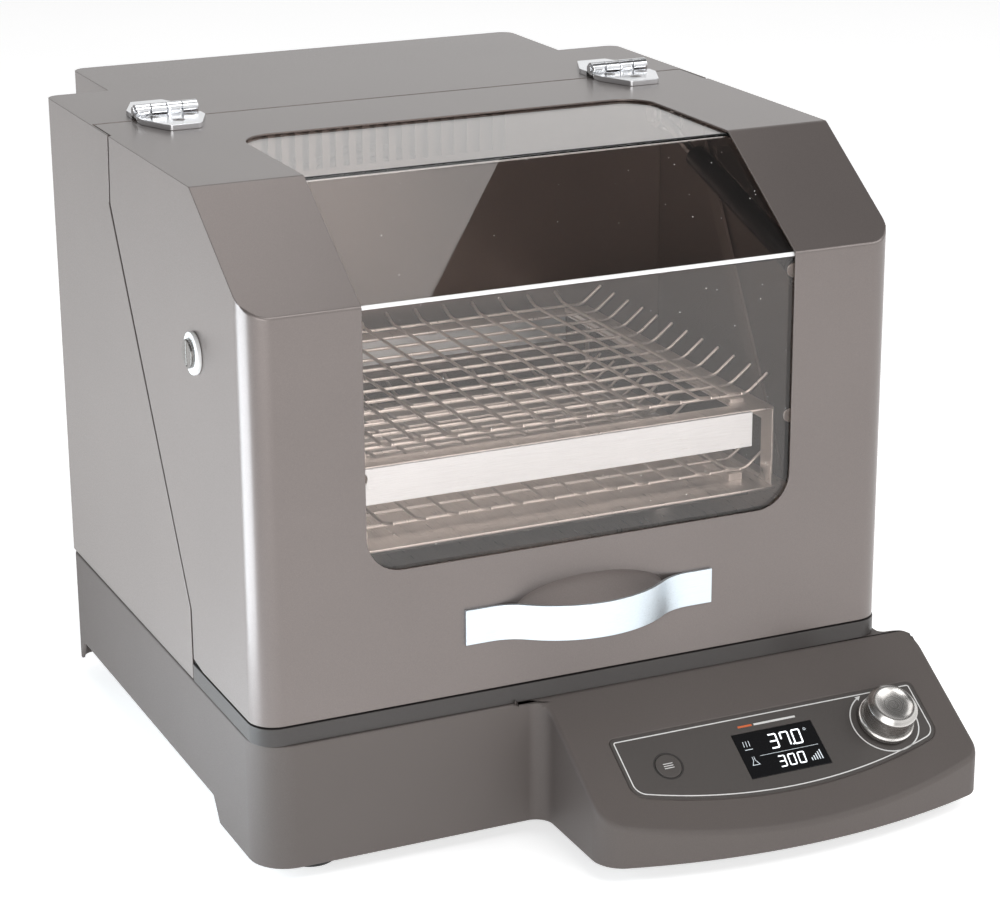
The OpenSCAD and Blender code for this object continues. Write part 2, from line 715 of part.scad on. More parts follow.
module hood_shell() place() color(taupe) difference() {
  hood_solid(0);
  difference() {
    translate([0, 0, -sheet_t]) intersection() {
      slab_z(hood_z, top_z) polygon(hood_outline(sheet_t));
      translate([0, 0, sheet_t]) slab_x(-half_w, half_w) polygon(hood_profile(sheet_t));
    }
    // return flange along the lower edge
    difference() {
      slab_z(hood_z - 5, hood_z + sheet_t) polygon(hood_outline(0));
      slab_z(hood_z - 6, hood_z + 5) polygon(hood_outline(12));
    }
  }
  slab_z(hood_z - 2, hood_z) polygon(hood_outline(-1));
  window_cut();
  // finger recess opening
  translate([handle_x, 5, cup_z]) rotate([90, 0, 0]) linear_extrude(10)
    polygon([for (a = [0:9:351]) [cup_half.x * cos(a), cup_half.y * sin(a)]]);
  // lower edge of each side lifts a little before the joint
  for (x = [-half_w - 1, half_w - 2.3]) slab_x(x, x + 3.3) polygon([
    [gap_low.x - 22, hood_z - 1], [gap_low.x - 20, hood_z], [gap_low.x, hood_z + 3],
    [gap_low.x, hood_z - 1]]);
  // sides end at the joint line, the top runs on to the hinge line
  for (x = [-half_w - 1, half_w - 2.3]) slab_x(x, x + 3.3)
    polygon(concat(gap_line(-gap_w / 2), [[hinge_y + 70, top_z + 2], [hinge_y + 70, base_top]]));
  box([-half_w, hinge_y - 1.3, hood_z - 5], [half_w, hinge_y + 80, top_z + 1]);
  box([-half_w + 1, gap_low.x - 14, hood_z - 1], [half_w - 1, hinge_y, top_z - 3]);
  // pivot holes
  for (x = [-half_w - 1, half_w - 4]) translate([x, pivot_hood.x, pivot_hood.y])
    rotate([0, 90, 0]) cylinder(r = 5, h = 5);
}

pane_gap = sheet_t + 0.3;

module window_pane() place() color([0.75, 0.72, 0.70, 0.35]) difference() {
  intersection() {
    slab_x(window_x - window_w / 2 - 15, window_x + window_w / 2 + 15)
      polygon(hood_profile(pane_gap));
    slab_z(hood_z + window_sill - 13, top_z) translate([-half_w, 0]) square([body_w, 240]);
  }
  slab_x(-half_w, half_w) polygon(hood_profile(pane_gap + pane_t));
}

module hood_fasteners() place() color(steel) {
  for (x = [-1, 1], z = [154.5, 254])
    translate([window_x + x * (window_w / 2 + 1.5), pane_gap + pane_t, hood_z + z])
      rotate([-90, 0, 0]) {
        cylinder(r = 4.5, h = 1.2);
        cylinder(r = 3.2, h = 3.6);
      }
  for (x = [-1, 1]) translate([handle_x + x * (handle_l / 2 - 8), sheet_t, handle_z])
    rotate([-90, 0, 0]) {
      cylinder(r = 4.5, h = 1.5);
      cylinder(r = 3, h = 4);
    }
}

// pressed oval cup behind the handle
module cup_solid(i, d) rotate([90, 0, 0]) scale([1, cup_half.y / cup_half.x, d / cup_half.x])
  sphere(r = cup_half.x - i, $fn = 36);

module finger_cup() place() color(taupe) translate([handle_x, sheet_t, cup_z]) difference() {
  union() {
    cup_solid(-1.6, 13);
    rotate([-90, 0, 0]) linear_extrude(1.2)
      polygon([for (a = [0:9:351]) [(cup_half.x + 7) * cos(a), (cup_half.y + 7) * sin(a)]]);
  }
  cup_solid(0, 11.5);
  box([-80, -80, -60], [80, 0, 60]);
}

// handle band: flat feet, then an S-bend into the bow, as a plan polygon
band_t = 2.5;
band_foot = 17.5;

function band_path(s) =
  let (run = handle_l / 2 - band_foot,
       phi = 2 * atan(handle_bow / run),
       total = run / sin(phi),
       r1 = 40,
       r2 = total - r1)
  concat(
    [[-handle_l / 2, -s]],
    arc([-run, -r1], r1 - s, 90, 90 - phi, 8),
    arc([0, -handle_bow + r2], r2 + s, 270 - phi, 270 + phi, 24),
    arc([run, -r1], r1 - s, 90 + phi, 90, 8),
    [[handle_l / 2, -s]]);

function reversed(p) = [for (i = [len(p) - 1:-1:0]) p[i]];

module handle() place() color(steel) translate([handle_x, 0, 0])
  slab_z(handle_z - handle_w / 2, handle_z + handle_w / 2)
    polygon(concat(band_path(0.02), reversed(band_path(band_t))));

// ---------- hinges ----------

module on_hinge() for (x = [-hinge_x, hinge_x]) translate([x, hinge_y, 0]) children();

module leaf_plate() {
  w = 2 * knuckle_l + 0.4;
  difference() {
    slab_z(top_z + 0.02, top_z + leaf_t) polygon([
      [-w, knuckle_r + 0.8], [-w, leaf_straight], [-w / 2, leaf_d], [w / 2, leaf_d],
      [w, leaf_straight], [w, knuckle_r + 0.8]]);
    for (p = hinge_screw_at) translate([p.x, p.y, top_z - 1]) cylinder(r = 2.3, h = 9);
    for (p = hinge_screw_at) translate([p.x, p.y, top_z + leaf_t - 1.9])
      cylinder(r1 = 2.3, r2 = 4.3, h = 2);
  }
}

module knuckle(i) translate([-2 * knuckle_l + i * knuckle_l + 0.15, 0, 0]) {
  difference() {
    union() {
      translate([0, 0, hinge_z]) rotate([0, 90, 0]) cylinder(r = knuckle_r, h = knuckle_l - 0.3);
      box([0, 0, hinge_z - knuckle_r], [knuckle_l - 0.3, knuckle_r + 1.5, top_z + leaf_t]);
    }
    translate([-1, 0, hinge_z]) rotate([0, 90, 0]) cylinder(r = pin_r + fit, h = knuckle_l + 2);
  }
}

module hinge_hood_leaves() place() color(steel) on_hinge() mirror([0, 1, 0]) {
  leaf_plate();
  for (i = [0, 2]) knuckle(i);
}

module hinge_cabinet_leaves() place() color(steel) on_hinge() {
  leaf_plate();
  for (i = [1, 3]) knuckle(i);
}

module hinge_pins() place() color(steel) on_hinge()
  translate([-2 * knuckle_l - 0.6, 0, hinge_z]) rotate([0, 90, 0]) {
    cylinder(r = pin_r, h = 4 * knuckle_l + 1.2);
    translate([0, 0, -0.6]) cylinder(r = 3, h = 0.6);
  }

module countersunk() {
  translate([0, 0, -6]) cylinder(r = 1.9, h = 8);
  translate([0, 0, leaf_t - 1.9]) cylinder(r1 = 2.2, r2 = 4.1, h = 1.9);
}

module hinge_screw_set(side) on_hinge() for (p = hinge_screw_at)
  translate([p.x, side * p.y, top_z]) difference() {
    countersunk();
    for (a = [0, 90]) rotate([0, 0, a + 20]) box([-2.2, -0.4, leaf_t - 0.9], [2.2, 0.4, leaf_t + 1]);
  }
module hinge_screws_hood() place() color(steel) hinge_screw_set(-1);
module hinge_screws_cabinet() place() color(steel) hinge_screw_set(1);

// ---------- lid struts ----------

module at_hood_pivots() both_sides()
  translate([-half_w, pivot_hood.x, pivot_hood.y]) rotate([0, -90, 0]) children();

module strut_bushes() place() color([0.93, 0.93, 0.92]) at_hood_pivots() {
  translate([0, 0, 0.02]) tube(14, strut_pin_r, 3.3);
  translate([0, 0, -3]) tube(4.95, strut_pin_r, 3.5);
}

module pivot_screws() place() color(steel) at_hood_pivots() {
  difference() {
    translate([0, 0, 3.4]) cylinder(r = 9.5, h = 2.6);
    box([-8, -0.9, 4.8], [8, 0.9, 7]);
  }
  translate([0, 0, -22]) cylinder(r = strut_pin_r - 0.01, h = 25.5);
  translate([0, 0, -22]) cylinder(r = 9.8, h = 2);
}

module at_strut(side) translate([side * strut_x, pivot_cabinet.x, pivot_cabinet.y])
  rotate([strut_a, 0, 0]) children();

module eye(bore) translate([-4, 0, 0]) rotate([0, 90, 0]) tube(11, bore, 8);

module strut_rod(side) place() color(steel) at_strut(side) {
  eye(strut_pin_r + fit);
  translate([0, 10, 0]) rotate([-90, 0, 0]) cylinder(r = rod_r, h = 140);
}
module strut_rod_left() strut_rod(-1);
module strut_rod_right() strut_rod(1);

module strut_cylinder(side) place() color(black) at_strut(side) difference() {
  union() {
    translate([0, 62, 0]) rotate([-90, 0, 0]) cylinder(r = 8.5, h = strut_l - 76);
    translate([0, 80, 0]) rotate([-90, 0, 0]) cylinder(r = 5.5, h = strut_l - 82);
    translate([-4, strut_l, 0]) rotate([0, 90, 0]) cylinder(r = 11.8, h = 8);
  }
  translate([0, 61, 0]) rotate([-90, 0, 0]) cylinder(r = rod_r + fit, h = 140);
  translate([-6, strut_l, 0]) rotate([0, 90, 0]) cylinder(r = strut_eye_r, h = 12);
}
module strut_cylinder_left() strut_cylinder(-1);
module strut_cylinder_right() strut_cylinder(1);

module strut_brackets() place() color(steel) both_sides() {
  box([half_w - sheet_t - 1.8, pivot_cabinet.x - 14, pivot_cabinet.y - 16],
      [half_w - sheet_t - 0.05, pivot_cabinet.x + 14, pivot_cabinet.y + 16]);
  translate([strut_x - 6, pivot_cabinet.x, pivot_cabinet.y]) rotate([0, 90, 0])
    cylinder(r = 4, h = half_w - sheet_t - 1 - strut_x + 6);
  translate([strut_x - 7.5, pivot_cabinet.x, pivot_cabinet.y]) rotate([0, 90, 0])
    cylinder(r = 6.5, h = 2.5);
}

base_shell();
base_pan();
rubber_feet();
chamber_plinth();
hood_gasket();
cabinet_shell();
gap_seal();
rear_air_wall();
rear_cover();
drive_plate();
chamber_floor();
bearing_housings();
drive_motor();
motor_pulley();
drive_belt();
drive_crank();
crank_pulley();
counterweight();
idler_crank_left();
idler_crank_right();
idler_crank_rear();
platform_carrier();
platform_bearings();
lower_shelf();
upper_shelf();
rack_sides();
rack_rails();
lower_tray();
upper_tray();
membrane_panel();
display_module();
mode_button();
control_knob();
encoder_shaft();
encoder_body();
control_board();
power_supply();
power_inlet();
switch_rocker();
fan_motor();
fan_impeller();
heater_ring();
temperature_probe();
hood_shell();
window_pane();
hood_fasteners();
finger_cup();
handle();
hinge_hood_leaves();
hinge_cabinet_leaves();
hinge_pins();
hinge_screws_hood();
hinge_screws_cabinet();
strut_bushes();
pivot_screws();
strut_brackets();
strut_cylinder_left();
strut_cylinder_right();
strut_rod_left();
strut_rod_right();
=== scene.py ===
import json
import math

import bmesh
import bpy
from mathutils import Matrix, Vector


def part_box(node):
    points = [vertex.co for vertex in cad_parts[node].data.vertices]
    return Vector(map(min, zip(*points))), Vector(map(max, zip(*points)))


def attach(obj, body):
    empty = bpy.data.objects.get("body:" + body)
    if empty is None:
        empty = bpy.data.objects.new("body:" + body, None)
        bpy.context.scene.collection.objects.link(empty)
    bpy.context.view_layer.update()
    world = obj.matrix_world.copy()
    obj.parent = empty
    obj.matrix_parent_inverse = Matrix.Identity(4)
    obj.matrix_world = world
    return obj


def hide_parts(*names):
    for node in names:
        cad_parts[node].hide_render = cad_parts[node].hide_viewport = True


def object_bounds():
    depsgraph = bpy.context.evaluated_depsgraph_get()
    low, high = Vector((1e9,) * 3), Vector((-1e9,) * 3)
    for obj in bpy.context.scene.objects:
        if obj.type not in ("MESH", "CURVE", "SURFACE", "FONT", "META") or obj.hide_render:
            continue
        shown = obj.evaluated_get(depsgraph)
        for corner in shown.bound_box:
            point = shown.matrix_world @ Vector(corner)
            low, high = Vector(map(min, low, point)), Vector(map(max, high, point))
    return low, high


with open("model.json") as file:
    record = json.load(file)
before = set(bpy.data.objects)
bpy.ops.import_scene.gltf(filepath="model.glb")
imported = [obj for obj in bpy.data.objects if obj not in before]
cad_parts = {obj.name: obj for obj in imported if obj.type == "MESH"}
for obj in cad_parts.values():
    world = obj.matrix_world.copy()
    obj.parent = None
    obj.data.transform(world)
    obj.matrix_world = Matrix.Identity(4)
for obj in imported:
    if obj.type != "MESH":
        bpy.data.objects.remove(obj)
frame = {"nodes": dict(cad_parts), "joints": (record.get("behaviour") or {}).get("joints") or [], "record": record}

CAD_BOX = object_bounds()
NODES = frame["nodes"]
RECORD = frame["record"]
JOINTS = {j["name"]: j for j in frame["joints"]}
SLOT_OF = {s["node"]: s["material_slot"] for s in RECORD["subparts"]}
BODY_OF = {n: b for b, ns in RECORD["behaviour"]["bodies"].items() for n in ns}
MM = 0.001


# ---------------------------------------------------------------- materials

class Nodes:
    """Small helper that builds a material's node tree."""

    def __init__(self, name):
        self.mat = bpy.data.materials.new(name)
        self.mat.use_nodes = True
        self.tree = self.mat.node_tree
        self.bsdf = self.tree.nodes["Principled BSDF"]
        self.out = self.tree.nodes["Material Output"]
        self.coord = self.tree.nodes.new("ShaderNodeTexCoord")

    def add(self, kind, **inputs):
        node = self.tree.nodes.new(kind)
        for key, value in inputs.items():
            node.inputs[key.replace("_", " ")].default_value = value
        return node

    def link(self, a, b):
        self.tree.links.new(a, b)

    def noise(self, scale, detail=2.0, rough=0.5, stretch=None):
        node = self.add("ShaderNodeTexNoise", Scale=scale, Detail=detail, Roughness=rough)
        source = self.coord.outputs["Object"]
        if stretch:
            mapping = self.add("ShaderNodeMapping", Scale=stretch)
            self.link(source, mapping.inputs["Vector"])
            source = mapping.outputs["Vector"]
        self.link(source, node.inputs["Vector"])
        return node.outputs["Fac"]

    def maths(self, operation, a, b):
        """Result of two values; b may be a plain number."""
        node = self.tree.nodes.new("ShaderNodeMath")
        node.operation = operation
        self.link(a, node.inputs[0])
        if isinstance(b, bpy.types.NodeSocket):
            self.link(b, node.inputs[1])
        else:
            node.inputs[1].default_value = b
        return node.outputs[0]

    def vector_maths(self, operation, a, b=None):
        """Node that works on the vector a and, where it needs one, the plain vector b."""
        node = self.tree.nodes.new("ShaderNodeVectorMath")
        node.operation = operation
        self.link(a, node.inputs[0])
        if b is not None:
            node.inputs[1].default_value = b
        return node

    def x_of(self, vector):
        node = self.tree.nodes.new("ShaderNodeSeparateXYZ")
        self.link(vector, node.inputs[0])
        return node.outputs["X"]

    def mix_shaders(self, factor, a, b):
        node = self.tree.nodes.new("ShaderNodeMixShader")
        for socket, value in zip(node.inputs, (factor, a, b)):
            self.link(value, socket)
        return node.outputs[0]

    def ramp(self, source, stops):
        node = self.tree.nodes.new("ShaderNodeValToRGB")
        elements = node.color_ramp.elements
        while len(elements) < len(stops):
            elements.new(0.5)
        for element, (position, colour) in zip(elements, stops):
            element.position = position
            element.color = (*colour, 1.0) if len(colour) == 3 else colour
        self.link(source, node.inputs["Fac"])
        return node.outputs["Color"]

    def spread(self, source, low, high, from_low=0.3, from_high=0.7):
        """Stretch the middle of a noise to the span from low to high."""
        node = self.tree.nodes.new("ShaderNodeMapRange")
        ends = {"From Min": from_low, "From Max": from_high, "To Min": low, "To Max": high}
        for key, value in ends.items():
            node.inputs[key].default_value = value
        self.link(source, node.inputs["Value"])
        return node.outputs["Result"]

    def mix(self, a, b, factor, blend="MIX"):
        node = self.tree.nodes.new("ShaderNodeMix")
        node.data_type, node.blend_type = "RGBA", blend
        for socket, value in ((node.inputs[0], factor), (node.inputs[6], a), (node.inputs[7], b)):
            if isinstance(value, bpy.types.NodeSocket):
                self.link(value, socket)
            elif isinstance(value, (int, float)):
                socket.default_value = value
            else:
                socket.default_value = (*value, 1.0)
        return node.outputs[2]

    def bump(self, source, strength, distance, onto=None):
        node = self.add("ShaderNodeBump", Strength=strength, Distance=distance)
        self.link(source, node.inputs["Height"])
        if onto is not None:
            self.link(onto, node.inputs["Normal"])
        return node.outputs["Normal"]

    def set(self, **values):
        """Link or set the shader's inputs; a three-part tuple is a colour."""
        for key, value in values.items():
            socket = self.bsdf.inputs[key.replace("_", " ")]
            if isinstance(value, bpy.types.NodeSocket):
                self.link(value, socket)
            elif isinstance(value, tuple) and len(value) == 3:
                socket.default_value = (*value, 1.0)
            else:
                socket.default_value = value


def shade(colour, k):
    """The colour made k times as bright."""
    return tuple(min(1.0, c * k) for c in colour)


def paint(name, colour, metallic=0.62, rough=0.33, grain=1500.0, bump=0.16, flake=0.08,
          spec=0.5, coat=0.25):
    """Fine powder coat with metallic flake: grain bump, flake speckle and slow colour drift."""
    n = Nodes(name)
    fine = n.noise(grain, 3.0, 0.6)
    flakes = n.noise(grain * 2.6, 1.0, 0.5)
    drift = n.noise(7.0, 3.0, 0.5)
    base = n.ramp(drift, [(0.30, shade(colour, 0.965)), (0.70, shade(colour, 1.035))])
    speck = n.ramp(flakes, [(0.42, (0.5 - flake,) * 3), (0.62, (0.5 + flake,) * 3)])
    n.set(Base_Color=n.mix(base, speck, 0.55, "OVERLAY"), Metallic=metallic, Specular_IOR_Level=spec,
          Roughness=n.spread(fine, rough - 0.05, rough + 0.06), Coat_Weight=coat, Coat_Roughness=0.18,
          Normal=n.bump(fine, bump, 0.12 * MM))
    return n.mat


def metal(name, colour, rough=0.25, streak=(1.0, 1.0, 1.0), scale=700.0, bump=0.15, tint=0.06):
    """Bare metal with streaks along one axis and faint handling marks."""
    n = Nodes(name)
    lines = n.noise(scale, 4.0, 0.65, stretch=streak)
    smear = n.noise(22.0, 4.0, 0.6)
    base = n.ramp(lines, [(0.3, shade(colour, 1 - tint)), (0.7, shade(colour, 1 + tint))])
    marks = n.spread(smear, 0.0, 0.25, 0.5, 0.8)
    n.set(Base_Color=n.mix(base, shade(colour, 0.86), marks), Metallic=1.0,
          Roughness=n.spread(lines, rough * 0.8, rough * 1.3), Normal=n.bump(lines, bump, 0.06 * MM))
    return n.mat


def turned_metal(name, colour, centre, axis, rough=0.24, rings=2600.0):
    """Lathe-turned metal: fine grooves that run round the axis on the top and along the skirt."""
    n = Nodes(name)
    offset = n.vector_maths("SUBTRACT", n.coord.outputs["Object"], centre).outputs["Vector"]
    sideways = n.vector_maths("CROSS_PRODUCT", offset, axis).outputs["Vector"]
    radius = n.vector_maths("LENGTH", sideways).outputs["Value"]
    along = n.vector_maths("DOT_PRODUCT", offset, axis).outputs["Value"]
    groove = n.add("ShaderNodeTexNoise", Scale=rings, Detail=3.0)
    groove.noise_dimensions = "1D"
    n.link(n.maths("ADD", radius, along), groove.inputs["W"])
    grooves = groove.outputs["Fac"]
    smear = n.spread(n.noise(60.0, 3.0, 0.6), 0.0, 0.3, 0.5, 0.8)
    base = n.ramp(grooves, [(0.35, shade(colour, 0.90)), (0.65, shade(colour, 1.08))])
    n.set(Base_Color=n.mix(base, shade(colour, 0.9), smear), Metallic=1.0,
          Roughness=n.spread(grooves, rough * 0.85, rough * 1.25), Normal=n.bump(grooves, 0.25, 0.03 * MM))
    return n.mat


def plastic(name, colour, rough=0.45, grain=900.0, bump=0.15, spec=0.5, coat=0.0):
    """Moulded plastic, rubber or ink: even grain and a slow drift of colour."""
    n = Nodes(name)
    fine = n.noise(grain, 2.0, 0.5)
    drift = n.noise(14.0, 3.0, 0.55)
    n.set(Base_Color=n.ramp(drift, [(0.3, shade(colour, 0.93)), (0.7, shade(colour, 1.07))]),
          Roughness=n.spread(fine, rough - 0.06, rough + 0.06), Specular_IOR_Level=spec,
          Coat_Weight=coat, Normal=n.bump(fine, bump, 0.1 * MM))
    return n.mat


def acrylic(name, tint):
    """Clear bent sheet: glass to the eye, with lamps passing through, and a few specks of dust."""
    n = Nodes(name)
    haze = n.noise(9.0, 3.0, 0.5)
    n.set(Base_Color=n.ramp(haze, [(0.3, shade(tint, 0.98)), (0.7, shade(tint, 1.02))]),
          Transmission_Weight=1.0, IOR=1.52, Roughness=0.0)
    clear = n.add("ShaderNodeBsdfTransparent", Color=(*tint, 1.0))
    path = n.tree.nodes.new("ShaderNodeLightPath")
    lit_through = n.maths("MAXIMUM", path.outputs["Is Shadow Ray"], path.outputs["Is Diffuse Ray"])
    sheet = n.mix_shaders(lit_through, n.bsdf.outputs[0], clear.outputs[0])
    # dust: the middle of every fifth cell
    cells = n.add("ShaderNodeTexVoronoi", Scale=150.0)
    n.link(n.coord.outputs["Object"], cells.inputs["Vector"])
    chosen = n.tree.nodes.new("ShaderNodeSeparateColor")
    n.link(cells.outputs["Color"], chosen.inputs[0])
    near_middle = n.maths("LESS_THAN", cells.outputs["Distance"], 0.055)
    one_in_five = n.maths("GREATER_THAN", chosen.outputs[0], 0.80)
    speck = n.add("ShaderNodeBsdfDiffuse", Color=(0.75, 0.74, 0.72, 1.0))
    dusty = n.mix_shaders(n.maths("MULTIPLY", near_middle, one_in_five), sheet, speck.outputs[0])
    n.link(dusty, n.out.inputs["Surface"])
    return n.mat


def two_sided_strip(name, outer, inner):
    """Seal strip: black towards the outside of the cabinet, as painted shade for the dark of the gap, and another
    colour towards the chamber.
    """
    n = Nodes(name)
    faces = n.tree.nodes.new("ShaderNodeNewGeometry")
    product = n.maths("MULTIPLY", n.x_of(n.coord.outputs["Object"]), n.x_of(faces.outputs["Normal"]))
    outward = n.maths("GREATER_THAN", product, 0.0)
    grain = n.noise(900.0, 2.0)
    inside = n.ramp(grain, [(0.3, shade(inner, 0.95)), (0.7, shade(inner, 1.05))])
    n.set(Base_Color=n.mix(inside, outer, outward), Roughness=n.spread(grain, 0.5, 0.62))
    return n.mat


def glow(name, colour, strength):
    """Lit display segments, a little uneven across the panel."""
    n = Nodes(name)
    drift = n.noise(60.0, 2.0)
    n.set(Base_Color=colour, Emission_Color=n.ramp(drift, [(0.3, shade(colour, 0.88)), (0.7, colour)]),
          Emission_Strength=strength, Roughness=0.4)
    return n.mat


# the knob stands square on the console's slope, so its axis is the slope's normal
KNOB_AT = Vector(JOINTS["knob_turn"]["pos_m"])
KNOB_AXIS = -Vector(JOINTS["knob_press"]["axis"]).normalized()
TAUPE = (0.190, 0.165, 0.156)
DARK = (0.106, 0.091, 0.085)
MATS = {
    "taupe_paint": paint("taupe_powder_coat", TAUPE),
    "base_plastic": paint("base_powder_coat", DARK, metallic=0.12, rough=0.52, spec=0.4, coat=0.0),
    # painted light: the finger cup takes the hood's taupe made 1.55 times as bright, to offset the shade that
    # falls in the recess
    "cup_paint_painted_light": paint("cup_powder_coat_painted_light", shade(TAUPE, 1.55), metallic=0.2, rough=0.5, coat=0.0),
    # painted shade: the plinth band under the hood is near black, much darker than the base paint, for the shade
    # beneath the hood's edge
    "dark_paint": paint("plinth_painted_shade", (0.045, 0.040, 0.038), metallic=0.2, rough=0.5),
    "pan_steel": paint("pan_coating", (0.03, 0.028, 0.028), metallic=0.1, rough=0.6),
    "rubber": plastic("black_rubber", (0.012, 0.012, 0.012), rough=0.72, grain=500.0, bump=0.3),
    "zinc_sheet": metal("zinc_sheet", (0.56, 0.57, 0.58), rough=0.35, scale=60.0),
    "stainless": metal("stainless", (0.86, 0.84, 0.82), rough=0.32, streak=(1.0, 0.04, 0.04),
                       scale=900.0, bump=0.05),
    "rail_aluminium": metal("brushed_aluminium", (0.76, 0.84, 0.90), rough=0.33, streak=(0.03, 1.0, 1.0),
                            scale=1600.0, bump=0.06),
    "shaft_steel": metal("ground_steel", (0.58, 0.58, 0.58), rough=0.16, scale=1200.0),
    "motor_black": plastic("motor_enamel", (0.016, 0.016, 0.018), rough=0.35, coat=0.3),
    "pulley_aluminium": metal("machined_aluminium", (0.72, 0.72, 0.72), rough=0.3, scale=900.0),
    "cast_weight": metal("cast_iron", (0.12, 0.12, 0.12), rough=0.6, scale=260.0, bump=0.6),
    "membrane": paint("panel_film", (0.074, 0.066, 0.062), metallic=0.10, rough=0.45, grain=2200.0,
                      bump=0.10, flake=0.16, coat=0.0),
    "display_black": plastic("display_glass", (0.004, 0.004, 0.005), rough=0.12, bump=0.01, coat=0.6),
    "electronics": plastic("circuit_board", (0.01, 0.10, 0.045), rough=0.4),
    "black_plastic": plastic("moulded_black", (0.014, 0.014, 0.014), rough=0.5, grain=1300.0, bump=0.35),
    "red_plastic": plastic("rocker_red", (0.30, 0.012, 0.008), rough=0.3),
    "heater_sheath": metal("heater_sheath", (0.20, 0.16, 0.13), rough=0.45, scale=300.0),
    "acrylic": acrylic("acrylic_sheet", (0.935, 0.865, 0.825)),
    # painted highlight: whitish gloss on the window's fold, standing in for light caught in the bend
    "fold_painted_highlight": plastic("fold_painted_highlight", (0.86, 0.86, 0.86), rough=0.25, spec=0.8, bump=0.02),
    # painted shade: the seal's outward face is black for the dark of the side gap; its inward face takes the
    # chamber's taupe
    "seal_strip_painted_shade": two_sided_strip("seal_strip_painted_shade", (0.006, 0.006, 0.006), TAUPE),
    "white_nylon": plastic("white_nylon", (0.86, 0.86, 0.85), rough=0.35, spec=0.6),
    "hinge_metal": metal("bright_plate", (0.84, 0.85, 0.87), rough=0.16, streak=(0.2, 1.0, 1.0),
                         scale=1100.0, bump=0.10),
    "knob_aluminium": turned_metal("turned_aluminium", (0.60, 0.58, 0.56), KNOB_AT, KNOB_AXIS),
    "screw_steel": metal("screw_steel", (0.22, 0.21, 0.20), rough=0.26, scale=1000.0),
    "nut_steel": metal("nut_steel", (0.92, 0.92, 0.92), rough=0.34, scale=1000.0),
    "print_white": plastic("white_ink", (0.72, 0.72, 0.71), rough=0.5, bump=0.05),
    "print_dark": plastic("dark_ink", (0.018, 0.016, 0.016), rough=0.45, bump=0.05),
    "print_orange": plastic("orange_ink", (0.62, 0.13, 0.035), rough=0.5, bump=0.05),
    "segments": glow("lit_segments", (0.92, 0.96, 1.0), 1.15),
    "segments_dim": glow("dim_segments", (0.62, 0.68, 0.72), 0.55),
}


# ---------------------------------------------------------------- console slope frame

NORMAL = KNOB_AXIS
ACROSS = Vector((1.0, 0.0, 0.0))
UP_SLOPE = NORMAL.cross(ACROSS)


def reach(node, direction):
    """The lowest and highest that a CAD node goes along a direction."""
    values = [v.co.dot(direction) for v in NODES[node].data.vertices]
    return min(values), max(values)


FILM_TOP = reach("membrane_panel", NORMAL)[1]
FILM_X = reach("membrane_panel", ACROSS)
FILM_S = reach("membrane_panel", UP_SLOPE)
# how far the film's face lies below the slope round it
RECESS = 0.1 * MM
SLOPE_LEVEL = FILM_TOP + RECESS


# ---------------------------------------------------------------- pieces

def place(name, mesh, slot, body, material=None):
    """Put a mesh or curve on a body, in its slot; material is a look other than the slot's own."""
    obj = bpy.data.objects.new(name, mesh)
    bpy.context.scene.collection.objects.link(obj)
    if hasattr(mesh, "materials"):
        mesh.materials.clear()
        mesh.materials.append(MATS[material or slot])
    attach(obj, body)
    return obj


def finish_mesh(obj, sharp_deg):
    """Smooth shading that keeps flat faces flat and edges over sharp_deg crisp."""
    me = obj.data
    for p in me.polygons:
        p.use_smooth = True
    me.set_sharp_from_angle(angle=math.radians(sharp_deg))
    mod = obj.modifiers.new("flat_faces_first", "WEIGHTED_NORMAL")
    mod.mode, mod.weight, mod.keep_sharp = "FACE_AREA", 50, True


def middle(edge):
    return (edge.verts[0].co + edge.verts[1].co) / 2


def bent(edge, faces_deg):
    """True for a fold of sheet rather than a cut edge."""
    return 20.0 < faces_deg < 72.0


FILM_MARGIN = 2 * MM
RIM_ABOVE_FILM = 36 * MM


def console_rim(edge, faces_deg):
    """True for the outer edges of the console's slope."""
    mid = middle(edge)
    on_plane = any(face.normal.dot(NORMAL) > 0.9999 for face in edge.link_faces)
    on_plane = on_plane and abs(mid.dot(NORMAL) - SLOPE_LEVEL) < RECESS
    across, up = mid.x, mid.dot(UP_SLOPE)
    in_film = (FILM_X[0] - FILM_MARGIN < across < FILM_X[1] + FILM_MARGIN
               and FILM_S[0] - FILM_MARGIN < up < FILM_S[1] + FILM_MARGIN)
    return on_plane and not in_film and up < FILM_S[1] + RIM_ABOVE_FILM and faces_deg > 40.0


CUP_MARGIN = 2 * MM


def by_finger_cup(edge):
    """True for the rim of the opening that the finger cup fills."""
    lo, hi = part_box("finger_cup")
    mid = middle(edge)
    return all(lo[i] - CUP_MARGIN < mid[i] < hi[i] + CUP_MARGIN for i in range(3))


SHORTEST_CORNER = 0.6 * MM


def leaf_corner(edge, faces_deg):
    """True for the upright corner edges of a hinge leaf's flat plate."""
    span = edge.verts[1].co - edge.verts[0].co
    upright = abs(span.z) > 0.97 * span.length
    return upright and 25.0 < faces_deg < 100.0 and span.length > SHORTEST_CORNER


# in metres: points this close are one, and edges this close to a seam are part of it
WELD = 2e-6
ON_SEAM = 3e-6
# faces that meet at less than this angle become one
FLAT_DEG = 0.4
# the window's fold, as the faces that bevelling leaves there; these faces get the painted highlight
FOLD_TILT_DEG = (8.0, 50.0)
FOLD_AREA = 600 * MM * MM


def split(bm, x):
    """One straight seam through the openings, so that no flat face goes round a hole."""
    bmesh.ops.bisect_plane(bm, geom=bm.verts[:] + bm.edges[:] + bm.faces[:], dist=1e-6,
                           plane_co=(x, 0, 0), plane_no=(1, 0, 0))
    for edge in bm.edges:
        edge.seam = all(abs(v.co.x - x) < ON_SEAM for v in edge.verts)


